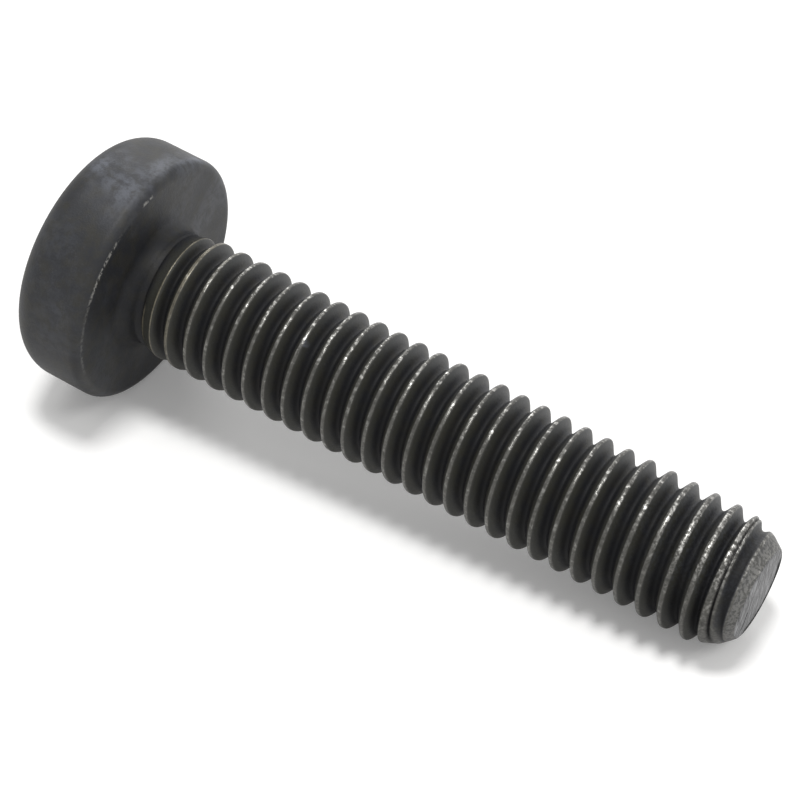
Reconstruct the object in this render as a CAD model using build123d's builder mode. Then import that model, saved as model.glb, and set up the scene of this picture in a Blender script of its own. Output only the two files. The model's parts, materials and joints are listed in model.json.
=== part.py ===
# Pan head machine screw, M6 x 1, 30 mm long and threaded to the head, in blackened steel.
# It lies as a loose screw does, on the rim of its head and on the thread beside its point.
# The ground is z = 0, +X runs from the head to the point, and the origin is below the middle
# of the screw's box. All sizes are in millimetres and degrees.

import os
from math import asin, atan2, ceil, cos, degrees, hypot, radians, sin, sqrt, tan

from build123d import *

# Pan head
head_diameter = 11.35
head_height = 4.7
dome_radius = 12.0
crown_rounding = 1.3
bearing_rounding = 0.5

# Metric thread, right hand: flanks of a 60 degree V with flats at crest and root
pitch = 1.0
major_diameter = 5.84
thread_depth = 0.565 * pitch
crest_width = 0.14 * pitch
flank_angle = 30.0

# Shank, measured from the bearing face of the head, with the radii of its neck and its point
# measured inwards from the crests
shank_length = 29.5
neck_depth = 0.27
neck_length = 0.7
neck_rounding = 0.6
point_length = 1.724
point_depth = 0.74

# Crests rise out of the neck, and grooves sink from it, over these lengths
crest_rise_length = 1.0
groove_fade_length = 1.0

# Cross recess in the dome
recess_diameter = 6.9
recess_floor_diameter = 3.8
recess_wing_width = 1.7
recess_core_width = 2.9
recess_wall_angle = 26.5
recess_floor_angle = 20.0
recess_draft = 5.0

# Depth to which one form is sunk into the next before the two are joined
sink = 0.15

head_radius = head_diameter / 2
major_radius = major_diameter / 2
root_radius = major_radius - thread_depth
neck_radius = major_radius - neck_depth
point_radius = major_radius - point_depth
recess_radius = recess_diameter / 2
recess_floor_radius = recess_floor_diameter / 2

# Lying pose: the thread meets the ground where the point begins, and the head meets it on
# the rounding of its bearing face, so the axis slopes down towards the point
point_start = shank_length - point_length
contact_run = point_start + bearing_rounding
contact_drop = head_radius - bearing_rounding - major_radius
slope = atan2(contact_drop, contact_run) + asin(bearing_rounding / hypot(contact_run, contact_drop))
bearing_height = point_start * sin(slope) + major_radius * cos(slope)

bearing_centre = Vector(0, 0, bearing_height)
along = Vector(cos(slope), 0, -sin(slope))
shank_axis = Axis(bearing_centre, along)

# Section plane: its x runs along the axis from the bearing face, and its y is the radius
section_plane = Plane(bearing_centre, x_dir=along, z_dir=(0, -1, 0))

# The dome is a sphere about this point of the axis
dome_centre = dome_radius - head_height

# The punch that leaves the recess: four tapered wings round a square core, within a cone
punch_start = -head_height - sink
wall_slope = tan(radians(recess_wall_angle))
recess_mouth = dome_centre - sqrt(dome_radius**2 - recess_radius**2)
wall_end = recess_mouth + (recess_radius - recess_floor_radius) / wall_slope
recess_floor = wall_end + recess_floor_radius * tan(radians(recess_floor_angle))

with BuildPart() as recess:
    with BuildSketch(Plane(bearing_centre + along * punch_start, x_dir=(0, 1, 0), z_dir=along)):
        Rectangle(2 * recess_diameter, recess_wing_width)
        Rectangle(recess_wing_width, 2 * recess_diameter)
        Rectangle(recess_core_width, recess_core_width, rotation=45)
    extrude(amount=recess_floor - punch_start + sink, taper=recess_draft)
    with BuildSketch(section_plane):
        with BuildLine():
            Polyline(
                (punch_start - sink, 0),
                (punch_start - sink, recess_radius + (recess_mouth - punch_start + sink) * wall_slope),
                (wall_end, recess_floor_radius),
                (recess_floor, 0),
                close=True,
            )
        make_face()
    revolve(axis=shank_axis, mode=Mode.INTERSECT)

# One pitch of the thread's section: length along the axis from the middle of a crest, and radius
groove_edge = crest_width / 2 + thread_depth * tan(radians(flank_angle))
thread_section = [
    (-groove_edge, root_radius),
    (-crest_width / 2, major_radius),
    (crest_width / 2, major_radius),
    (groove_edge, root_radius),
    (pitch - groove_edge, root_radius),
]

# The helix starts above the axis, inside the neck, and half a turn short of a whole number of
# turns before the crest that meets the ground. It runs out past the point.
turns_to_ground = ceil((point_start - neck_rounding) / pitch) + 0.5
helix_start = point_start - turns_to_ground * pitch
turns = ceil((shank_length - helix_start) / pitch + 1)


def section_helix(turn, offset, radius):
    # One turn of the helix that a point of the thread's section follows
    centre = bearing_centre + along * (helix_start + turn * pitch + offset)
    return Edge.make_helix(pitch, pitch, radius, centre, along)


# The thread's surface, one face for each side of its section and each turn
thread_faces = []
for turn in range(turns):
    for near, far in zip(thread_section, thread_section[1:]):
        near_helix = section_helix(turn, *near)
        far_helix = section_helix(turn, *far)
        thread_faces.append(Face.make_surface_from_curves(near_helix, far_helix))

# Each end is closed by a winding face in to the axis and by the flat section of one pitch
for turn in (0, turns):
    edge_helix = section_helix(turn, *thread_section[0])
    axis_start = bearing_centre + along * (helix_start + turn * pitch - groove_edge)
    axis_end = axis_start + along * pitch
    thread_faces.append(Face.make_surface_from_curves(Edge.make_line(axis_start, axis_end), edge_helix))
    corners = [section_helix(turn, *corner) @ 0 for corner in thread_section]
    thread_faces.append(Face(Wire.make_polygon([axis_start, *corners, axis_end])))

# Slopes of the crests at the neck and at the point, as length for each unit of radius
rise_start = neck_radius - sink / 2
rise_slope = (neck_length + crest_rise_length - neck_rounding) / (major_radius - rise_start)
point_slope = point_length / (major_radius - point_radius)

with BuildPart() as machine_screw:
    add(Solid(Shell(thread_faces)))

    # Both ends of the thread turned down to cones: the rise of the crests, and the point
    with BuildSketch(section_plane):
        with BuildLine():
            Polyline(
                (neck_rounding, 0),
                (neck_rounding, rise_start),
                (neck_rounding + (major_radius + sink - rise_start) * rise_slope, major_radius + sink),
                (point_start - sink * point_slope, major_radius + sink),
                (shank_length, point_radius),
                (shank_length, 0),
                close=True,
            )
        make_face()
    revolve(axis=shank_axis, mode=Mode.INTERSECT)

    # Head and neck, down to where the neck has sunk into the thread's root
    with BuildSketch(section_plane):
        with BuildLine():
            rim_angle = degrees(asin(head_radius / dome_radius))
            dome = CenterArc((dome_centre, 0), dome_radius, 180 - rim_angle, rim_angle)
            Polyline(
                dome @ 1,
                (neck_length + groove_fade_length, 0),
                (neck_length + groove_fade_length, root_radius - sink),
                (neck_length, neck_radius),
                (0, neck_radius),
                (0, head_radius),
                dome @ 0,
            )
        make_face()
        fillet(vertices().group_by(Axis.Y)[-1].sort_by(Axis.X)[0], crown_rounding)
        fillet(vertices().group_by(Axis.Y)[-1].sort_by(Axis.X)[-1], bearing_rounding)
        fillet(vertices().sort_by_distance((0, neck_radius))[0], neck_rounding)
    revolve(axis=shank_axis)

    add(recess.part, mode=Mode.SUBTRACT)

# The origin goes below the middle of the box
machine_screw.part.position -= (machine_screw.part.bounding_box().center().X, 0, 0)
machine_screw.part.label = "machine_screw"

os.makedirs("parts", exist_ok=True)
export_step(machine_screw.part, "parts/machine_screw.step")
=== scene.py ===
# A pan head machine screw in blackened steel, M6 x 1, lying on a pale floor.
# Lengths of the screw are in millimetres, along its axis from the bearing face and out from it.

import json
import math
from types import SimpleNamespace

import bmesh
import bpy
import numpy as np
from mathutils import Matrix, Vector


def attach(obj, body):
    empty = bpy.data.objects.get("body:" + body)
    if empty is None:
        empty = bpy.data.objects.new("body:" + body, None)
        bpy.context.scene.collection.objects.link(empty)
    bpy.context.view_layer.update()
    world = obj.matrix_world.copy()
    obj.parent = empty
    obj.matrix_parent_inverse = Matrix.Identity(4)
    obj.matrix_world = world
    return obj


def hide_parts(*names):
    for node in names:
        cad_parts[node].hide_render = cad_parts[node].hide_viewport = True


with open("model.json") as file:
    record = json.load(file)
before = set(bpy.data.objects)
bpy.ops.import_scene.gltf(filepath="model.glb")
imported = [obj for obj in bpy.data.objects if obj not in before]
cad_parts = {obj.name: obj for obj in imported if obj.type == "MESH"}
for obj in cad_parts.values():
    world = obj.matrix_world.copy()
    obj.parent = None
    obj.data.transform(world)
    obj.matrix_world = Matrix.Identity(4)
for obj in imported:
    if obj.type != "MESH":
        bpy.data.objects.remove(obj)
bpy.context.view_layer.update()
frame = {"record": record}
print("frame loaded")

# where the screw lies: its bearing face and its axis, which points from the head to the end
seat = next(m for m in frame["record"]["mounts"] if m["name"] == "under_head")
axisAlong = np.array(seat["axis"]) / np.linalg.norm(seat["axis"])
seatCentre = np.array([seat["pos_m"][0], 0.0, seat["pos_m"][2]]) * 1000
axisSide = np.array([0.0, -1.0, 0.0])
axisUp = np.cross(axisSide, axisAlong)


def place(along, radius, turn):
    # a point at a length along the axis, a radius, and an angle from the upper side, which is
    # right-handed about the axis
    across = np.cos(turn)[..., None] * axisUp + np.sin(turn)[..., None] * axisSide
    return seatCentre + along[..., None] * axisAlong + radius[..., None] * across


def smoothMax(a, b, width):
    # the larger of two values, with a rounded corner about as wide as width where they cross
    return (a + b + np.sqrt((a - b) ** 2 + width**2)) / 2


def smoothMin(a, b, width):
    # the smaller of two values, with the same rounded corner
    return -smoothMax(-a, -b, width)


def ease(start, end, value):
    # rises from 0 at start to 1 at end along a cubic with flat ends
    t = np.clip((value - start) / (end - start), 0, 1)
    return t * t * (3 - 2 * t)


def hump(start, full, fading, end, value):
    # rises from 0 at start to 1 at full, and falls again from fading to end
    return ease(start, full, value) * (1 - ease(fading, end, value))


def blendSteps(count):
    # count + 1 even steps from 0 to 1
    return np.linspace(0, 1, count + 1)


screw = {
    "columns": 112,  # faces round the axis
    "headRadius": 5.675,
    "headHeight": 4.7,
    "domeRadius": 12.0,
    "crownRounding": 1.3,
    "bearingRounding": 0.5,
    "neckRadius": 2.65,
    "neckRounding": 0.6,
    "shankLength": 29.5,
    "pointStart": 27.776,
    "pointRadius": 2.18,
    "coneRounding": 0.04,  # where the cone begins
    "endRounding": 0.05,
    "endDropFrom": 28.9,  # the cone steepens here, and ends lower by endDrop
    "endDrop": 0.22,
    "endDropPower": 1.1,
    "endLopsided": 0.07,  # more on the side of endTurn, less on the other
    "endTurn": 110.0,
    "endRise": 0.06,  # how far the middle of the end face stands out
    "endRisePower": 0.6,
    "weld": 2e-7,  # in metres
}

# steps between rings on each part of the head, and on the end face
ringSteps = {
    "floor": 5,
    "wall": 9,
    "dome": 8,
    "crown": 12,
    "side": 6,
    "bearing": 8,
    "face": 8,
    "neck": 10,
    "end": 10,
}

# four numbers say where something comes in, is full, begins to fade and ends
thread = {
    "pitch": 1.0,
    "radius": 2.92,
    "depth": 0.565,
    "crestHalf": 0.07,
    "flankAngle": 30.0,
    "turnsToPoint": 29.5,  # from where its crest line would cross the upper side to the point
    "crestRounding": 0.06,
    "rootRounding": 0.14,
    "outlineRounding": 0.03,  # where the crests meet the outline that bounds them
    "crestReach": 0.15,  # what is done to a crest fades away over this distance from its middle
    "rows": 24,  # rows of faces in one pitch
    "bunching": 0.6,  # how far the rows draw together at crest and root
    "firstFall": 0.22,  # how low the crests start, in two parts
    "firstFrom": 0.75,
    "firstTo": 2.05,
    "slowFall": 0.06,
    "slowLength": 3.5,
    "wideCrest": 0.05,  # the first crest isn't filled, so it is wider by this on each side
    "wideBehind": 0.13,  # and by this towards the head
    "wideFrom": 1.4,
    "wideTo": 2.1,
    "groovesFrom": 0.6,
    "groovesFull": 1.7,
    "groovesSpare": 0.1,  # how far the floor of the grooves sinks below their root
    "freeFrom": 3.0,  # from here on only the thread's own root bounds the grooves
    "waver": 0.012,  # how much the crests rise and dip
    "waverRates": (3.3, 8.7, 19.1, 31.7),  # waves in a turn
    "nickAlong": 8.39,
    "nickDepth": 0.07,
    "nickLength": 0.25,
    "lastShift": 0.18,  # the last crest is pushed back by this
    "lastRun": (27.5, 28.4, 28.5, 29.0),
    "foldRun": (27.6, 27.9, 28.5, 28.9),  # rolling has left a fold just inside its front edge
    "foldInside": 0.075,
    "foldDepth": 0.09,
    "foldWidth": 0.04,
    "wornFrom": (0.9, 1.05),
    "behindTurn": (60, 72, 92, 108),  # the first crest's rear edge is worn here, in degrees
    "behindTo": 1.9,
}

recess = {
    "mouthRadius": 3.45,
    "floorRadius": 1.9,
    "wingHalf": 0.85,
    "coreHalf": 1.45,
    "wallAngle": 26.5,
    "floorAngle": 20.0,
    "draft": 5.0,
    "punchStart": -4.85,
    "leastRadius": 0.3,
    "tipShare": 0.3,  # share of the columns on a wing's tip, and on a side of the core
    "coreShare": 0.3,
    "lip": 0.07,
    "lipSteps": (0.3, 0.65),  # the rings that round the lip, and how low and how wide they lie
    "lipDrop": 0.3,
    "lipSpread": 0.35,
    "rounds": 6,
}

turns = 2 * np.pi * np.arange(screw["columns"]) / screw["columns"]
domeCentre = screw["domeRadius"] - screw["headHeight"]
flankSlope = math.tan(math.radians(thread["flankAngle"]))
firstCrest = screw["pointStart"] - thread["turnsToPoint"] * thread["pitch"]
endPlane = screw["shankLength"] - screw["endRise"]


def domeAlong(radius):
    # the dome is a sphere: its place along the axis at a radius
    return domeCentre - np.sqrt(screw["domeRadius"] ** 2 - radius**2)


def crossOutline(along, column):
    # An eighth of the cross is a tip arc on the wall cone, a straight wing side and a straight
    # core side. column runs from 0 in the middle of a wing to 1 between two wings. Every side
    # leans inwards by the draft, and the wall cone narrows by its own angle.
    inward = (along - recess["punchStart"]) * math.tan(math.radians(recess["draft"]))
    wing = recess["wingHalf"] - inward
    core = (recess["coreHalf"] - inward) * math.sqrt(2)
    mouthAlong = domeAlong(recess["mouthRadius"])
    cone = recess["mouthRadius"] - (along - mouthAlong) * math.tan(math.radians(recess["wallAngle"]))
    cone = np.maximum(cone, recess["leastRadius"])
    tipAngle = np.arcsin(np.clip(wing / cone, 0, 1))
    tipX = cone * np.cos(tipAngle)
    cornerX = core - wing
    tipEnd = recess["tipShare"]
    coreStart = 1 - recess["coreShare"]
    t1 = np.clip(column / tipEnd, 0, 1)
    t2 = np.clip((column - tipEnd) / (coreStart - tipEnd), 0, 1)
    t3 = np.clip((column - coreStart) / (1 - coreStart), 0, 1)
    x = np.where(column < tipEnd, cone * np.cos(tipAngle * t1), tipX + (cornerX - tipX) * t2)
    y = np.where(column < tipEnd, cone * np.sin(tipAngle * t1), wing)
    x = np.where(column > coreStart, cornerX + (core / 2 - cornerX) * t3, x)
    y = np.where(column > coreStart, wing + (core / 2 - wing) * t3, y)
    return np.minimum(np.hypot(x, y), cone), np.arctan2(y, x)


def headInside():
    # The recess as rings of (along, radius, angle), from the middle of its floor, up its walls
    # and over its lip to the dome. Each column finds its own depth where it meets the floor
    # cone and where it meets the dome, by a few rounds of substitution.
    eighth = screw["columns"] // 8
    step = np.arange(screw["columns"])
    fromWing = (step + eighth) % (2 * eighth) - eighth
    column = np.abs(fromWing) / eighth
    quarter = (step - fromWing) // (2 * eighth) * (np.pi / 2)
    side = np.where(fromWing < 0, -1, 1)
    mouthAlong = domeAlong(recess["mouthRadius"])
    wallSlope = math.tan(math.radians(recess["wallAngle"]))
    wallEnd = mouthAlong + (recess["mouthRadius"] - recess["floorRadius"]) / wallSlope
    floorSlope = math.tan(math.radians(recess["floorAngle"]))
    floorTip = wallEnd + recess["floorRadius"] * floorSlope

    foot = np.full(screw["columns"], wallEnd)
    mouth = np.full(screw["columns"], mouthAlong)
    for _ in range(recess["rounds"]):
        foot = np.maximum(floorTip - crossOutline(foot, column)[0] * floorSlope, wallEnd)
        mouth = domeAlong(crossOutline(mouth, column)[0])

    rings = []

    def addRing(along, radius, angle):
        # an eighth's ring, turned and mirrored on to all eight
        rings.append((along, radius, quarter + side * angle))

    footRadius, footAngle = crossOutline(foot, column)
    for t in blendSteps(ringSteps["floor"]):
        addRing(floorTip - footRadius * t * floorSlope, footRadius * t, footAngle)
    lip = recess["lip"]
    for t in blendSteps(ringSteps["wall"])[1:]:
        along = foot + (mouth + lip - foot) * t
        radius, angle = crossOutline(along, column)
        addRing(along, radius, angle)
    mouthRadius, mouthAngle = crossOutline(mouth, column)
    for t in recess["lipSteps"]:
        along = mouth + lip * recess["lipDrop"] * (1 - t)
        addRing(along, mouthRadius + lip * recess["lipSpread"] * t, mouthAngle)
    outRadius = mouthRadius + lip
    addRing(domeAlong(outRadius), outRadius, mouthAngle)
    return rings, outRadius, quarter + side * mouthAngle


def arcRings(centreAlong, centreRadius, radius, start, end, count):
    # rings of a rounding: angle 0 looks back along the axis and 90 looks outwards
    for angle in np.radians(start + (end - start) * blendSteps(count)):
        yield centreAlong - radius * math.cos(angle), centreRadius + radius * math.sin(angle)


def headRings():
    # From the recess's floor, over the dome, crown, side, bearing rounding, bearing face and
    # neck rounding, to the neck. Between the recess's outline and the round edge of the dome
    # a ring's radius and angle go over evenly from the one to the other.
    rings, lipRadius, lipAngle = headInside()
    wrapped = np.angle(np.exp(1j * (lipAngle - turns)))
    crownRadius = screw["headRadius"] - screw["crownRounding"]
    reach = screw["domeRadius"] - screw["crownRounding"]
    crownAngle = math.degrees(math.asin(crownRadius / reach))
    crownAlong = domeCentre - math.sqrt(reach**2 - crownRadius**2)
    domeEdge = screw["domeRadius"] * crownRadius / reach
    for t in blendSteps(ringSteps["dome"])[1:-1]:
        radius = lipRadius + (domeEdge - lipRadius) * t
        rings.append((domeAlong(radius), radius, turns + wrapped * (1 - t) ** 2))

    crown = arcRings(crownAlong, crownRadius, screw["crownRounding"], crownAngle, 90, ringSteps["crown"])
    outline = list(crown)
    sideEnd = -screw["bearingRounding"]
    for t in blendSteps(ringSteps["side"])[1:-1]:
        outline.append((crownAlong + (sideEnd - crownAlong) * t, screw["headRadius"]))
    rim = screw["headRadius"] - screw["bearingRounding"]
    outline += list(arcRings(sideEnd, rim, screw["bearingRounding"], 90, 180, ringSteps["bearing"]))
    neckCentre = screw["neckRadius"] + screw["neckRounding"]
    for t in blendSteps(ringSteps["face"])[1:-1]:
        outline.append((0.0, rim + (neckCentre - rim) * t))
    for angle in np.radians(90 * blendSteps(ringSteps["neck"])):
        along = screw["neckRounding"] * (1 - math.cos(angle))
        outline.append((along, neckCentre - screw["neckRounding"] * math.sin(angle)))
    ones = np.ones(screw["columns"])
    rings += [(along * ones, radius * ones, turns) for along, radius in outline]
    return rings


def crestPhase(along, turn):
    # distance along the axis from the middle of the nearest crest, and that crest's own run, in
    # turns from the first crest
    pushed = thread["lastShift"] * hump(*thread["lastRun"], along)
    run = (along + pushed - firstCrest) / thread["pitch"] - turn / (2 * np.pi)
    phase = (run + 0.5) % 1 - 0.5
    return phase * thread["pitch"], run - phase + turn / (2 * np.pi)


def crestFall(along, run):
    # how far the crests' outline lies under their full radius: low at the neck, then a cone to
    # the point, which steepens towards its end and is rounded there
    fall = thread["firstFall"] * (1 - ease(thread["firstFrom"], thread["firstTo"], along))
    fall += thread["slowFall"] * np.clip(1 - (along - screw["neckRounding"]) / thread["slowLength"], 0, 1)
    slope = (thread["radius"] - screw["pointRadius"]) / (screw["shankLength"] - screw["pointStart"])
    fall = smoothMax(fall, (along - screw["pointStart"]) * slope, screw["coneRounding"])
    nearEnd = np.clip((along - screw["endDropFrom"]) / (endPlane - screw["endDropFrom"]), 0, 1)
    tilt = np.cos(2 * np.pi * run - math.radians(screw["endTurn"]))
    fall = fall + nearEnd ** screw["endDropPower"] * (screw["endDrop"] + screw["endLopsided"] * tilt)
    edge = np.clip((along - endPlane) / screw["endRounding"] + 1, 0, 1)
    return fall + screw["endRounding"] * (1 - np.sqrt(1 - edge**2))


def threadRadius(along, phase, run):
    # Depth grows from the crest's edge down a straight flank to the root, with a rounded crest
    # and root. The crests stay under their outline, waver a little, and carry a nick and a fold.
    # Near the neck the grooves stay above a floor that sinks from it.
    fall = crestFall(along, run)
    unfilled = 1 - ease(thread["wideFrom"], thread["wideTo"], along)
    crestHalf = thread["crestHalf"] + unfilled * (thread["wideCrest"] + thread["wideBehind"] * (phase < 0))
    landEdge = np.abs(phase) - crestHalf - fall * flankSlope
    depth = smoothMax((np.abs(phase) - crestHalf) / flankSlope, 0.0, thread["crestRounding"])
    depth = smoothMin(depth, thread["depth"], thread["rootRounding"])
    waver = 0
    for count, rate in enumerate(thread["waverRates"], 1):
        waver = waver + np.sin(run * 2 * np.pi * rate + rate**2) / count
    onCrest = np.exp(-((phase / thread["crestReach"]) ** 2))
    fall = fall + (0.5 + 0.5 * np.tanh(waver)) * thread["waver"] * onCrest
    nickRun = (thread["nickAlong"] - firstCrest) / thread["pitch"]
    fromNick = (run - nickRun) * 2 * np.pi * thread["radius"]
    fall += thread["nickDepth"] * np.exp(-((fromNick / thread["nickLength"]) ** 2)) * onCrest
    radius = smoothMin(thread["radius"] - depth, thread["radius"] - fall, thread["outlineRounding"])
    fromFold = (landEdge + thread["foldInside"]) / thread["foldWidth"]
    folded = hump(*thread["foldRun"], along) * (phase > 0) * np.exp(-(fromFold**2))
    radius -= folded * thread["foldDepth"]
    sunk = ease(thread["groovesFrom"], thread["groovesFull"], along)
    lowest = thread["radius"] - thread["depth"] - thread["groovesSpare"]
    floor = screw["neckRadius"] - sunk * (screw["neckRadius"] - lowest)
    floor = np.where(along < thread["freeFrom"], floor, 0.0)
    radius = np.where(along <= screw["neckRounding"], screw["neckRadius"], np.maximum(radius, floor))
    return radius, landEdge, folded


def threadGrid():
    # Rows follow the helix: a row keeps its distance from the crest and moves by one pitch in
    # a turn. What would lie before the neck or past the end is drawn back onto that ring.
    turnsNeeded = math.ceil((screw["shankLength"] - firstCrest) / thread["pitch"]) + 1
    step = np.arange(turnsNeeded * thread["rows"] + 1) / thread["rows"] - 1
    phase = (step + 0.5) % 1 - 0.5
    bunched = phase - thread["bunching"] * np.sin(4 * np.pi * phase) / (4 * np.pi)
    row = (step - phase + bunched) * thread["pitch"] + firstCrest
    angle = 2 * np.pi * np.arange(screw["columns"] + 1) / screw["columns"]
    along = row[:, None] + thread["pitch"] * blendSteps(screw["columns"])
    along = np.clip(along, screw["neckRounding"], endPlane)
    angle = np.broadcast_to(angle, along.shape)
    phase, run = crestPhase(along, angle)
    radius, landEdge, folded = threadRadius(along, phase, run)
    # the first crest's edge towards the head is worn only on one side
    behind = hump(*thread["behindTurn"], np.degrees(angle))
    worn = np.where((phase < 0) & (along < thread["behindTo"]), behind, 1.0)
    worn = worn * ease(*thread["wornFrom"], along)
    return along, radius, angle, landEdge, worn, folded


def endRings():
    # the end face: from the ring where the thread's surface stops, up a very flat crown
    along = np.full(screw["columns"], endPlane)
    phase, run = crestPhase(along, turns)
    outer = threadRadius(along, phase, run)[0]
    for t in blendSteps(ringSteps["end"]):
        yield along + screw["endRise"] * t ** screw["endRisePower"], outer * (1 - t), turns


def quads(rows, columns, first, wrap):
    # corner numbers of the faces between neighbouring rows of a grid of vertices
    column = np.arange(columns if wrap else columns - 1)
    here = np.arange(rows - 1)[:, None] * columns + column
    right = np.arange(rows - 1)[:, None] * columns + (column + 1) % columns
    return first + np.stack([here, right, right + columns, here + columns], -1).reshape(-1, 4)


def buildScrew():
    # the head's rings, the thread's helix and the end's rings, welded into one closed mesh
    points, faces = [], []
    marks = {"landEdge": [], "worn": [], "folded": []}
    first = 0

    def addGrid(along, radius, angle, wrap, *values):
        nonlocal first
        points.append(place(along, radius, angle).reshape(-1, 3))
        faces.append(quads(along.shape[0], along.shape[1], first, wrap))
        for name, value in zip(marks, values):
            marks[name].append(np.broadcast_to(value, along.shape).ravel())
        first += along.size

    def ringGrid(rings):
        return [np.stack(part) for part in zip(*rings)]

    addGrid(*ringGrid(headRings()), True, 1.0, 0.0, 0.0)
    along, radius, angle, landEdge, worn, folded = threadGrid()
    addGrid(along, radius, angle, False, landEdge, worn, folded)
    addGrid(*ringGrid(endRings()), True, 1.0, 0.0, 0.0)

    mesh = bpy.data.meshes.new("screw")
    mesh.from_pydata((np.concatenate(points) / 1000).tolist(), [], np.concatenate(faces).tolist())
    for name, values in marks.items():
        attribute = mesh.attributes.new(name, "FLOAT", "POINT")
        attribute.data.foreach_set("value", np.concatenate(values).astype(np.float32))

    work = bmesh.new()
    work.from_mesh(mesh)
    bmesh.ops.remove_doubles(work, verts=work.verts, dist=screw["weld"])
    bmesh.ops.recalc_face_normals(work, faces=work.faces)
    openEdges = sum(len(edge.link_faces) != 2 for edge in work.edges)
    print("screw volume", round(work.calc_volume() * 1e9, 2), "mm3, open edges", openEdges)
    work.to_mesh(mesh)
    work.free()
    mesh.shade_smooth()
    piece = bpy.data.objects.new("screw", mesh)
    bpy.context.scene.collection.objects.link(piece)
    return piece


piece = buildScrew()
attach(piece, "root")
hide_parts("machine_screw")
print("screw built", len(piece.data.polygons), "faces")


class Shade:
    # one output socket, so that maths on it reads as a plain expression
    def __init__(self, tree, socket=None):
        self.tree = tree
        self.socket = socket

    def node(self, kind, settings=None, sockets=None, output=0):
        # any node: its settings first, then the values or links of its sockets
        made = self.tree.nodes.new(kind)
        for name, value in (settings or {}).items():
            setattr(made, name, value)
        for name, value in (sockets or {}).items():
            if isinstance(value, Shade):
                self.tree.links.new(value.socket, made.inputs[name])
            else:
                made.inputs[name].default_value = value
        return Shade(self.tree, made.outputs[output])

    def math(self, operation, *values):
        return self.node("ShaderNodeMath", {"operation": operation}, dict(enumerate(values)))

    def __add__(self, other):
        return self.math("ADD", self, other)

    def __radd__(self, other):
        return self.math("ADD", other, self)

    def __sub__(self, other):
        return self.math("SUBTRACT", self, other)

    def __rsub__(self, other):
        return self.math("SUBTRACT", other, self)

    def __mul__(self, other):
        return self.math("MULTIPLY", self, other)

    def __rmul__(self, other):
        return self.math("MULTIPLY", other, self)

    def __pow__(self, other):
        return self.math("POWER", self, other)

    def between(self, low, high):
        # 0 below low, 1 above high, eased in between
        return self.node(
            "ShaderNodeMapRange",
            {"interpolation_type": "SMOOTHSTEP"},
            {"Value": self, "From Min": low, "From Max": high},
        )

    def within(self, start, full, fading, end):
        # rises from 0 at start to 1 at full, and falls again from fading to end
        return self.between(start, full) * (1 - self.between(fading, end))

    def near(self, middle, width):
        # 1 where this value is at middle, fading to 0 at width to either side
        return 1 - self.math("ABSOLUTE", self - middle).between(0.0, width)

    def above(self, least):
        # what ran from 0 to 1 now runs from least to 1
        return least + (1 - least) * self

    def mixColour(self, first, second):
        # first where this value is 0, second where it is 1
        return self.node("ShaderNodeMix", {"data_type": "RGBA"}, {0: self, 6: first, 7: second}, 2)

    def dot(self, direction):
        # how far this vector reaches along a direction
        sockets = {0: self, 1: tuple(direction)}
        return self.node("ShaderNodeVectorMath", {"operation": "DOT_PRODUCT"}, sockets, 1)

    def noise(self, scale, detail, rough):
        # noise at the place that this vector gives
        sockets = {"Vector": self, "Scale": scale, "Detail": detail, "Roughness": rough}
        return self.node("ShaderNodeTexNoise", {}, sockets)


# The finish is described by where things lie, in millimetres along the axis or out from it and in
# degrees round it, and by levels of noise. Two numbers are the range over which something comes
# in, or its middle and how far it reaches from there. Four numbers are where it comes in, is
# full, begins to fade and ends. One number is a strength or a share, or the place, length or
# slope that its name says.
steel = {
    "black": (0.0120, 0.0128, 0.0155, 1),
    "brown": (0.0175, 0.0166, 0.0135, 1),
    "olive": (0.0230, 0.0226, 0.0160, 1),
    "paleGrain": (0.0450, 0.0460, 0.0500, 1),
    # the matt dark of grime and of painted shade
    "grimeAndShade": (0.0066, 0.0066, 0.0074, 1),
    # dust, and painted highlight on the head and painted sheen on the flanks
    "dustAndHighlight": (0.105, 0.112, 0.132, 1),
    "pointGrey": (0.165, 0.163, 0.155, 1),
    "dull": (0.095, 0.093, 0.086, 1),
    "bare": (0.60, 0.59, 0.56, 1),
    "golden": (0.165, 0.148, 0.108, 1),
    "rim": (0.34, 0.335, 0.32, 1),
    "endGrey": (0.205, 0.207, 0.215, 1),
    "endDark": (0.060, 0.060, 0.062, 1),
    "specular": 0.35,
    "specularGrimeAndShade": 0.05,
    "roughBlack": 0.52,
    "roughBare": 0.32,
    "roughGrimeAndShade": 0.9,
    "roughGrain": 0.2,
    "smootherEnd": 0.12,
    "bumpStrength": 0.4,
    "bumpDistance": 0.00002,  # in metres
    "bumpSpecks": 0.8,
    "flanksFrom": (0.9, 1.3),
    "flanks": (2.45, 2.75),
    "lastTurns": (22.0, 27.5),
    "ontoEnd": (-0.03, -0.005),  # from the plane of the end face
}

# cells of noise to a millimetre, its detail and its roughness
noises = {
    "cloud": (0.5, 4.0, 0.55),
    "blotch": (1.7, 3.0, 0.55),
    "speck": (8.0, 2.0, 0.5),
    "bead": (5.0, 2.0, 0.6),
    "grain": (13.0, 3.0, 0.55),
    "mottle": (2.3, 5.0, 0.7),
    "cluster": (2.9, 2.0, 0.5),
}


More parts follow.
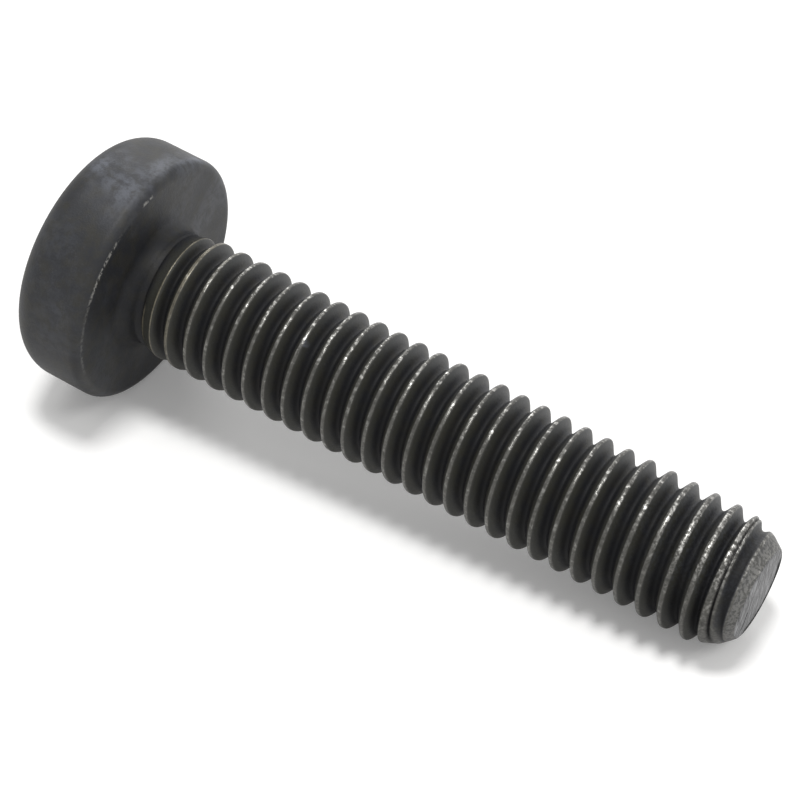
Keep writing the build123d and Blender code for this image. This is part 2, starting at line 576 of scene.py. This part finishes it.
def surfacePlaces(start):
    # where a point of the surface lies: along the axis and out from it, round it in degrees,
    # the marks that the mesh carries there, the noises, and the last turns and the end face
    metres = start.node("ShaderNodeTexCoord", output=3)
    spot = metres.node("ShaderNodeVectorMath", {"operation": "SCALE"}, {0: metres, "Scale": 1000.0})
    local = spot.node("ShaderNodeVectorMath", {"operation": "SUBTRACT"}, {0: spot, 1: tuple(seatCentre)})
    at = SimpleNamespace(start=start)
    at.along, at.up, at.side = local.dot(axisAlong), local.dot(axisUp), local.dot(axisSide)
    at.radius = (at.up * at.up + at.side * at.side) ** 0.5
    at.turn = start.math("DEGREES", start.math("ARCTAN2", at.side, at.up))
    for name in ("landEdge", "worn", "folded"):
        setattr(at, name, start.node("ShaderNodeAttribute", {"attribute_name": name}, output=2))
    for name, values in noises.items():
        setattr(at, name, spot.noise(*values))
    at.lastTurns = at.along.between(*steel["lastTurns"])
    low, high = steel["ontoEnd"]
    at.onEnd = at.along.between(endPlane + low, endPlane + high)
    return at


coat = {
    "brownIn": (0.38, 0.68),
    "olive": 0.7,
    "grainIn": (0.45, 0.75),
    "grainClouds": (0.35, 0.65),
    "grain": 0.35,
}


def coatColour(at):
    # the black coating, browner in blotches, olive on the flanks, and grainy
    colour = at.blotch.between(*coat["brownIn"]).mixColour(steel["black"], steel["brown"])
    onFlank = at.along.between(*steel["flanksFrom"]) * at.radius.between(*steel["flanks"])
    colour = (coat["olive"] * onFlank).mixColour(colour, steel["olive"])
    pale = at.grain.between(*coat["grainIn"]) * at.cloud.between(*coat["grainClouds"])
    return (coat["grain"] * pale).mixColour(colour, steel["paleGrain"])


# dust, and painted highlight and sheen where the head and the flanks catch the light
dustAndHighlight = {
    "mottleIn": (0.36, 0.62),
    "mottleLeast": 0.25,
    "veil": 0.12,
    "veilClouds": (0.40, 0.65),
    "veilEnds": (0.0, 1.0),
    "patchEdge": (0.0, 2.2),  # in squares of a patch's size
    "specks": 0.15,
    "specksIn": (0.45, 0.62),
    "specksEnd": (50.0, 90.0),
    "farSide": 0.20,
    "farSideFrom": (0.8, 2.0),
    "farSideTurn": (-30.0, 50.0),
}

# patches of dust, where upper side, streak, shoulder and lit edge are painted highlight on the
# head's lit band as well, and neck is a painted highlight on the neck rounding: place along the
# axis and round it in degrees, size each way, strength
dustAndHighlightPatches = {
    "upper side": (-2.2, 2.0, 1.0, 11.0, 0.42),
    "streak": (-1.3, 10.0, 0.7, 6.0, 0.30),
    "shoulder": (-0.6, -28.0, 0.6, 20.0, 0.42),
    "far shoulder": (-0.42, -62.0, 0.22, 34.0, 0.80),
    "lit edge": (-0.75, 3.0, 0.5, 20.0, 0.42),
    "spot": (-2.7, 4.0, 0.35, 4.5, 0.45),
    "low spot": (-2.5, 41.0, 0.8, 9.0, 0.14),
    "lower side": (-1.6, 82.0, 1.0, 14.0, 0.16),
    "neck": (0.10, -66.0, 0.35, 12.0, 0.42),
    "nick": (8.43, 27.5, 0.14, 3.0, 0.9),
}


def dustAndHighlightCover(at):
    # dust in a thin veil on the head and as specks on the last turns, patches of dust and of
    # painted highlight, and a painted sheen on the flanks of the far side
    mottle = at.mottle.between(*dustAndHighlight["mottleIn"]).above(dustAndHighlight["mottleLeast"])
    onHead = 1 - at.along.between(*dustAndHighlight["veilEnds"])
    cover = dustAndHighlight["veil"] * at.cloud.between(*dustAndHighlight["veilClouds"]) * mottle * onHead
    for placeAlong, placeTurn, sizeAlong, sizeTurn, strength in dustAndHighlightPatches.values():
        offAlong = (at.along - placeAlong) * (1 / sizeAlong)
        offTurn = (at.turn - placeTurn) * (1 / sizeTurn)
        patch = 1 - (offAlong * offAlong + offTurn * offTurn).between(*dustAndHighlight["patchEdge"])
        cover = cover + strength * patch * mottle
    specks = at.lastTurns * at.speck.between(*dustAndHighlight["specksIn"]) * (1 - at.turn.between(*dustAndHighlight["specksEnd"]))
    # a painted sheen on the flanks of the upper far side
    farSide = at.along.between(*dustAndHighlight["farSideFrom"]) * at.turn.near(*dustAndHighlight["farSideTurn"])
    flankSheen = farSide * at.radius.between(*steel["flanks"])
    return cover + dustAndHighlight["specks"] * specks + dustAndHighlight["farSide"] * flankSheen


point = {
    "cone": (28.4, 28.9),
    "coneFull": (28.9, 29.3),
    "coneLeast": 0.65,
    "offLand": (-0.03, 0.05),
    "specksIn": (0.40, 0.60),
    "specksLeast": 0.4,
    "scratchCells": (12.0, 1.1),  # sideways and upwards, to a millimetre
    "scratchNoise": (1.0, 4.0, 0.6),
    "scratchIn": (0.36, 0.64),
    "scarPlace": (0.92, 0.09),
    "scarMiddle": -0.07,
    "scarLean": 0.196,
    "scarRun": (-1.1, -1.0, -0.15, -0.02),
}


def coneRubbed(at):
    # the cone of the point is rubbed to a speckled grey, most of all at its end
    onCone = at.along.between(*point["cone"])
    onCone = onCone * at.along.between(*point["coneFull"]).above(point["coneLeast"])
    specks = at.speck.between(*point["specksIn"]).above(point["specksLeast"])
    return onCone * (1 - at.landEdge.between(*point["offLand"])) * specks


def endFaceMarks(at):
    # fine scratches on the end face, and one dark scar across it
    sideways, upwards = point["scratchCells"]
    across = at.start.node("ShaderNodeCombineXYZ", {}, {"X": at.side * sideways, "Y": at.up * upwards})
    scratch = across.noise(*point["scratchNoise"]).between(*point["scratchIn"])
    leaning = at.side + point["scarLean"] * (at.up - point["scarMiddle"])
    scar = leaning.near(*point["scarPlace"]) * at.up.within(*point["scarRun"])
    return scratch, scar


wear = {
    "reach": 0.008,  # how far bare steel reaches down from a crest's edge
    "reachLater": 0.022,  # and how much farther from laterFrom on, and on the last turns
    "laterFrom": (2.0, 5.0),
    "reachLast": 0.035,
    "lowSide": (50.0, 90.0),
    "lowSideLess": 0.6,
    "reachUneven": 0.03,
    "edgeInside": 0.05,
    "lastCrest": (27.2, 27.8, 28.5, 28.8),
    "ridgeLess": 0.5,
    "fade": (0.0, 0.05),
    "specksIn": (0.36, 0.54),
    "specksLeast": 0.55,
    "rimRadius": (5.33, 0.10),
    "rimAlong": (-0.2, -0.1, 0.02, 0.1),
    "rimRuns": ((3.0, 6.0, 10.0, 13.0), (30.0, 36.0, 52.0, 70.0)),
    "rim": 0.75,
    "rimFaintRun": (20.0, 36.0, 95.0, 112.0),
    "rimFaint": 0.18,
    "rimSpecks": (0.40, 0.58),
    "endEdgeFrom": (29.28, 29.36),
    "endEdgeTurn": (20.0, 80.0),
    "endEdgeSpecks": (0.40, 0.55),
    "endEdge": 0.6,
}


def crestWear(at):
    # Bare steel along the edges of the crests, which covers the narrow ones and leaves the middle
    # of the wide first one. The last crest is worn over its whole width. On the last turns it
    # reaches down farther, though less on their lower side, which is painted shade.
    # the bare line is narrower on the lower side: painted shade
    lessOnShadedSide = 1 - wear["lowSideLess"] * at.turn.between(*wear["lowSide"])
    reach = wear["reach"] + wear["reachLater"] * at.along.between(*wear["laterFrom"])
    reach = reach + at.lastTurns * wear["reachLast"] * lessOnShadedSide
    reach = reach + (at.blotch - 0.5) * wear["reachUneven"]
    reach = reach * (1 - wear["ridgeLess"] * at.along.between(*wear["lastCrest"][2:]))
    offLine = at.landEdge + wear["edgeInside"]
    mirrored = (1 - at.along.within(*wear["lastCrest"])) * -1.0 * offLine
    offLine = at.start.math("MAXIMUM", offLine, mirrored)
    line = (1 - (offLine - reach).between(*wear["fade"])) * at.worn
    return line * at.speck.between(*wear["specksIn"]).above(wear["specksLeast"])


def edgeWear(at):
    # The inner edge of the bearing rounding is worn to specks over part of its run, and so is
    # the edge of the end face, on the upper side.
    onRim = at.radius.near(*wear["rimRadius"]) * at.along.within(*wear["rimAlong"])
    shortRun, longRun = [at.turn.within(*run) for run in wear["rimRuns"]]
    faint = at.turn.within(*wear["rimFaintRun"]) * wear["rimFaint"]
    rim = onRim * (wear["rim"] * (shortRun + longRun) + faint) * at.speck.between(*wear["rimSpecks"])
    endEdge = at.along.between(*wear["endEdgeFrom"]) * (1 - at.onEnd) * at.turn.near(*wear["endEdgeTurn"])
    return rim + endEdge * at.speck.between(*wear["endEdgeSpecks"]) * wear["endEdge"]


# bare steel, with glints painted in beads on the upper side
bareAndGlints = {
    "beadsIn": (0.46, 0.70),
    "beadsTurn": (0.0, 52.0),
    "beadsLeast": 0.2,
    "lastBeads": 0.4,
    "lastBeadsIn": (0.47, 0.58),
    "lastBeadsTurn": (8.0, 65.0),
    "clustersIn": (0.40, 0.60),
    "clustersLeast": 0.45,
    "clustersMore": 0.75,
    "coneFrom": (28.3, 28.6),
    "coneLess": 0.4,
    "goldenEnds": (1.2, 4.0),
    "rimEnds": (-0.1, 0.2),
    "metalHead": 0.3,
    "metalMore": 0.55,
    "metalFrom": (1.2, 2.6),
}


def bareColour(at):
    # Where the coating is worn off, steel is bright in clusters of beads on the upper side, bare
    # steel and painted glints, dull between them, golden on the first turns, and grey on the head.
    # painted glints: the bright beads are kept to the upper side
    onUpper = at.turn.near(*bareAndGlints["beadsTurn"]).above(bareAndGlints["beadsLeast"])
    beads = at.bead.between(*bareAndGlints["beadsIn"]) * onUpper
    lastBeads = at.lastTurns * at.speck.between(*bareAndGlints["lastBeadsIn"])
    beads = beads + bareAndGlints["lastBeads"] * lastBeads * at.turn.near(*bareAndGlints["lastBeadsTurn"])
    clusters = bareAndGlints["clustersLeast"] + bareAndGlints["clustersMore"] * at.cluster.between(*bareAndGlints["clustersIn"])
    brightBeadsAndGlints = beads * clusters * (1 - bareAndGlints["coneLess"] * at.along.between(*bareAndGlints["coneFrom"]))
    colour = brightBeadsAndGlints.mixColour(steel["dull"], steel["bare"])
    colour = at.along.between(*bareAndGlints["goldenEnds"]).mixColour(steel["golden"], colour)
    return (1 - at.along.between(*bareAndGlints["rimEnds"])).mixColour(colour, steel["rim"])


# grime, and painted shade in the grooves, round the neck, in a film and along the end face's far edge
grimeAndShade = {
    "grooves": 0.66,
    "groovesRadius": (2.40, 2.70),
    "groovesOffLand": (0.02, 0.10),
    "groovesFrom": (0.6, 1.2),
    "neck": 0.45,
    "neckAlong": (-0.1, 0.0, 0.95, 1.3),
    "neckRadius": (2.8, 3.4),
    "litTurn": (-35.0, 55.0),
    "litLess": 0.8,
    # a film of painted shade on the head's lower side and crown, and on the last turns' lower side
    "paintedShade": 0.22,
    "shadeHead": (60.0, 110.0),
    "shadeHeadEnds": (-0.3, 0.0),
    "shadeCrownEnds": (-3.7, -2.7),
    "shadeLast": (45.0, 90.0),
    # painted shade along the far edge of the end face
    "farTurn": -138.0,
    "farSide": (0.4, 1.2),
    "farRadius": (1.50, 1.62),
    "farEdge": 0.9,
    "face": 0.06,
    "scratches": 0.40,
    "scar": 0.9,
    "fold": 0.9,
    "most": 0.95,
}


def grimeAndShadeCover(at, line, scratch, scar):
    # Grime and painted shade lie in the grooves and round the neck, less on the lit side. A thin
    # film of painted shade darkens the head's crown and lower side, and the lower side of the last
    # turns. On the end face grime lies between the scratches and in the scar, painted shade along
    # the far edge, and grime fills the fold of the last crest.
    # grime and painted shade in the grooves and round the neck, less on the lit side
    grooves = at.landEdge.between(*grimeAndShade["groovesOffLand"]) * at.along.between(*grimeAndShade["groovesFrom"])
    grooves = grooves * (1 - at.radius.between(*grimeAndShade["groovesRadius"])) * (1 - at.onEnd)
    neck = at.along.within(*grimeAndShade["neckAlong"]) * (1 - at.radius.between(*grimeAndShade["neckRadius"]))
    cover = at.start.math("MAXIMUM", grooves * grimeAndShade["grooves"], neck * grimeAndShade["neck"])
    cover = cover * (1 - grimeAndShade["litLess"] * at.turn.near(*grimeAndShade["litTurn"])) * (1 - line)

    # painted shade: a film on the head's lower side and crown, and on the last turns' lower side
    headLow = at.turn.between(*grimeAndShade["shadeHead"]) * (1 - at.along.between(*grimeAndShade["shadeHeadEnds"]))
    crown = 1 - at.along.between(*grimeAndShade["shadeCrownEnds"])
    lastLow = at.turn.between(*grimeAndShade["shadeLast"]) * at.lastTurns * (1 - at.onEnd)
    paintedShade = at.start.math("MAXIMUM", at.start.math("MAXIMUM", headLow, crown), lastLow)

    # painted shade along the end face's far edge
    farTurn = math.radians(grimeAndShade["farTurn"])
    towardsFar = at.up * math.cos(farTurn) + at.side * math.sin(farTurn)
    farEdge = towardsFar.between(*grimeAndShade["farSide"]) * at.radius.between(*grimeAndShade["farRadius"])
    face = grimeAndShade["face"] + grimeAndShade["scratches"] * (1 - scratch)
    face = face + grimeAndShade["scar"] * scar + grimeAndShade["farEdge"] * farEdge
    cover = cover + grimeAndShade["paintedShade"] * paintedShade + at.onEnd * face + grimeAndShade["fold"] * at.folded
    return at.start.math("MINIMUM", cover, grimeAndShade["most"])


def blackenedSteel():
    # The colour is the coating's, over it the dust's and painted highlight's, the rubbed point's and
    # the end face's, and bare steel's where it is worn. Grime and painted shade lie over all of them,
    # and are matt.
    material = bpy.data.materials.new("blackened_steel")
    material.use_nodes = True
    tree = material.node_tree
    tree.nodes.clear()
    at = surfacePlaces(Shade(tree))

    # dust, with painted highlight on the head's lit band and neck and painted sheen on the flanks
    colour = dustAndHighlightCover(at).mixColour(coatColour(at), steel["dustAndHighlight"])
    colour = coneRubbed(at).mixColour(colour, steel["pointGrey"])
    scratch, scar = endFaceMarks(at)
    colour = at.onEnd.mixColour(colour, scratch.mixColour(steel["endDark"], steel["endGrey"]))
    line = crestWear(at)
    worn = at.start.math("MINIMUM", line + edgeWear(at), 1.0)
    colour = worn.mixColour(colour, bareColour(at))

    rough = steel["roughBlack"] + (at.grain - 0.5) * steel["roughGrain"]
    rough = rough - worn * (steel["roughBlack"] - steel["roughBare"]) - at.onEnd * steel["smootherEnd"]
    metal = bareAndGlints["metalHead"] + bareAndGlints["metalMore"] * at.along.between(*bareAndGlints["metalFrom"])
    height = at.grain + at.speck * steel["bumpSpecks"]
    relief = {"Strength": steel["bumpStrength"], "Distance": steel["bumpDistance"], "Height": height}
    coated = at.start.node(
        "ShaderNodeBsdfPrincipled",
        {},
        {
            "Base Color": colour,
            "Roughness": rough,
            "Metallic": worn * metal,
            "Normal": at.start.node("ShaderNodeBump", {}, relief),
            "Specular IOR Level": steel["specular"],
        },
    )
    # the matt surface of grime and of painted shade
    grimeAndShadeSurface = at.start.node(
        "ShaderNodeBsdfPrincipled",
        {},
        {
            "Base Color": steel["grimeAndShade"],
            "Roughness": steel["roughGrimeAndShade"],
            "Specular IOR Level": steel["specularGrimeAndShade"],
        },
    )
    cover = grimeAndShadeCover(at, line, scratch, scar)
    surface = at.start.node("ShaderNodeMixShader", {}, {0: cover, 1: coated, 2: grimeAndShadeSurface})
    tree.links.new(surface.socket, tree.nodes.new("ShaderNodeOutputMaterial").inputs["Surface"])
    return material


piece.data.materials.append(blackenedSteel())
print("material made")

stage = {
    "floorSize": 3.0,
    "floorColour": (0.92, 0.915, 0.905, 1),
    "floorGlow": 0.14,
    "farGlow": 0.60,  # the floor far away, which the lamps don't reach, is white to the camera
    "far": (0.07, 0.35),  # in metres from the origin
    "worldLight": 0.46,
}


def seenDirectly(start):
    # 1 for rays from the camera and for mirrored ones, so that metal shows the backdrop too
    camera = start.node("ShaderNodeLightPath", output="Is Camera Ray")
    glossy = start.node("ShaderNodeLightPath", output="Is Glossy Ray")
    return camera.math("MAXIMUM", camera, glossy)


def buildFloor():
    # a matt square that glows a little where it is seen, and more far away from the screw
    half = stage["floorSize"] / 2
    mesh = bpy.data.meshes.new("floor")
    corners = [(-half, -half, 0), (half, -half, 0), (half, half, 0), (-half, half, 0)]
    mesh.from_pydata(corners, [], [(0, 1, 2, 3)])
    floor = bpy.data.objects.new("floor", mesh)
    bpy.context.scene.collection.objects.link(floor)
    material = bpy.data.materials.new("pale_floor")
    material.use_nodes = True
    tree = material.node_tree
    tree.nodes.clear()
    start = Shade(tree)
    matt = start.node("ShaderNodeBsdfDiffuse", {}, {"Color": stage["floorColour"]})
    spot = start.node("ShaderNodeTexCoord", output=3)
    distance = spot.node("ShaderNodeVectorMath", {"operation": "LENGTH"}, {0: spot}, 1)
    camera = start.node("ShaderNodeLightPath", output="Is Camera Ray")
    strength = seenDirectly(start) * stage["floorGlow"]
    strength = strength + camera * distance.between(*stage["far"]) * stage["farGlow"]
    glow = start.node("ShaderNodeEmission", {}, {"Strength": strength})
    both = start.node("ShaderNodeAddShader", {}, {0: matt, 1: glow})
    tree.links.new(both.socket, tree.nodes.new("ShaderNodeOutputMaterial").inputs["Surface"])
    mesh.materials.append(material)


def buildWorld():
    # white where it is seen, and dimmer as a light
    world = bpy.data.worlds.new("studio")
    world.use_nodes = True
    tree = world.node_tree
    tree.nodes.clear()
    start = Shade(tree)
    strength = stage["worldLight"] + seenDirectly(start) * (1 - stage["worldLight"])
    back = start.node("ShaderNodeBackground", {}, {"Color": (1, 1, 1, 1), "Strength": strength})
    tree.links.new(back.socket, tree.nodes.new("ShaderNodeOutputWorld").inputs["Surface"])
    bpy.context.scene.world = world


lamps = {
    "overhead": {"place": (-0.01, -0.02, 0.50), "size": 0.12, "power": 1.36},
    "behind": {"place": (-0.22, 0.38, 0.235), "size": 0.20, "power": 0.52},
    "right": {"place": (0.31, 0.0, 0.39), "size": 0.18, "power": 0.48},
}


def buildLamps():
    # round lamps that all face the origin
    for name, values in lamps.items():
        data = bpy.data.lights.new(name, "AREA")
        data.shape = "DISK"
        data.size = values["size"]
        data.energy = values["power"]
        lamp = bpy.data.objects.new(name, data)
        lamp.location = values["place"]
        lamp.rotation_euler = (-Vector(values["place"])).to_track_quat("-Z", "Y").to_euler()
        bpy.context.scene.collection.objects.link(lamp)


buildFloor()
buildWorld()
buildLamps()
print("stage set")

cameraView = {
    "lens": 114.89,
    "sensor": 36.0,
    "clip": (0.005, 10.0),
    "azimuth": 32.344,  # the way it looks, from +Y towards -X
    "elevation": 43.461,
    "distance": 0.105895,
    "aim": (0.000256, -0.000335, 0.005307),
}


def buildCamera():
    # stands back from its aim, against the way it looks
    data = bpy.data.cameras.new("camera")
    data.lens = cameraView["lens"]
    data.sensor_width = cameraView["sensor"]
    data.clip_start, data.clip_end = cameraView["clip"]
    camera = bpy.data.objects.new("camera", data)
    azimuth = math.radians(cameraView["azimuth"])
    elevation = math.radians(cameraView["elevation"])
    level = math.cos(elevation)
    look = Vector((-math.sin(azimuth) * level, math.cos(azimuth) * level, -math.sin(elevation)))
    camera.location = Vector(cameraView["aim"]) - look * cameraView["distance"]
    camera.rotation_euler = look.to_track_quat("-Z", "Y").to_euler()
    bpy.context.scene.collection.objects.link(camera)
    bpy.context.scene.camera = camera


buildCamera()
bpy.context.scene.view_settings.view_transform = "Standard"
